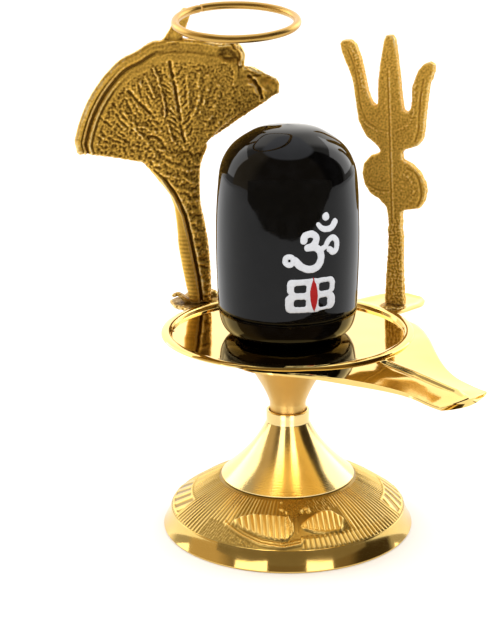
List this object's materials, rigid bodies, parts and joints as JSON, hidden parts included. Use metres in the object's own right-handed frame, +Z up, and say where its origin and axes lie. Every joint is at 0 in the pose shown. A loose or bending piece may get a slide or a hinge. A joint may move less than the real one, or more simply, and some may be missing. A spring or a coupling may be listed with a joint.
{
  "type": "shiva lingam on stand",
  "caption": "Tabletop shrine piece: black stone lingam on a brass yoni tray with spout, cobra hood carrying a drip ring, trident with drum, and an embossed flared foot.",
  "frame": {"origin": "the middle of the part's bounding box, on the surface the foot rests on", "axes": "+Z up, +X along the tray's spout, +Y towards the trident's lug"},
  "size_m": [0.1266, 0.0944, 0.1552],
  "materials": {
    "spun_brass": "bright spun sheet, embossed skirt",
    "polished_brass": "polished",
    "satin_brass": "satin, lathe turned",
    "tray_brass": "mirror polished",
    "black_stone": "polished, painted marks",
    "cast_brass": "rough cast, darkened in the hollows",
    "wire_brass": "drawn wire",
    "trident_brass": "granular cast"
  },
  "bodies": {
    "root": {"foot_skirt": "spun_brass", "trumpet_cone": "polished_brass", "stem": "satin_brass", "tray": "tray_brass", "lingam": "black_stone", "naga": "cast_brass", "ring": "wire_brass", "trident": "trident_brass"}
  },
  "joints": []
}
